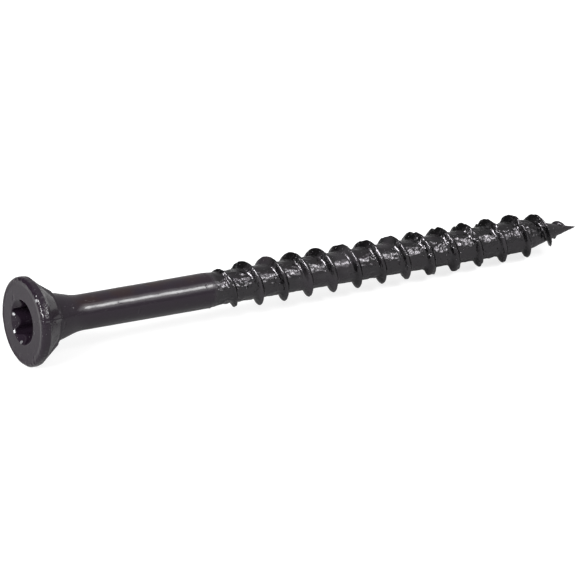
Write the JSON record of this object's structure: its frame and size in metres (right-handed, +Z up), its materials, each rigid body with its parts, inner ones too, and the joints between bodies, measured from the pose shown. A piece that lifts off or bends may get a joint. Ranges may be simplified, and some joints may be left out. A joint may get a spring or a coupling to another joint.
{
  "type": "deck screw",
  "caption": "Countersunk coarse-thread wood screw with a six-lobe drive recess, ribbed head underside, plain shank and notched, gimlet-pointed thread.",
  "frame": {"origin": "centre of the bounding box's underside, on the surface the screw lies on", "axes": "+X along the screw from its head to its point, which dips by 2.29 degrees as it rests; +Z up"},
  "size_m": [0.0636, 0.0091, 0.0091],
  "materials": {
    "coated_steel": "gloss black baked coating, a little lumpy and pitted"
  },
  "bodies": {
    "root": {"screw": "coated_steel"}
  },
  "joints": []
}
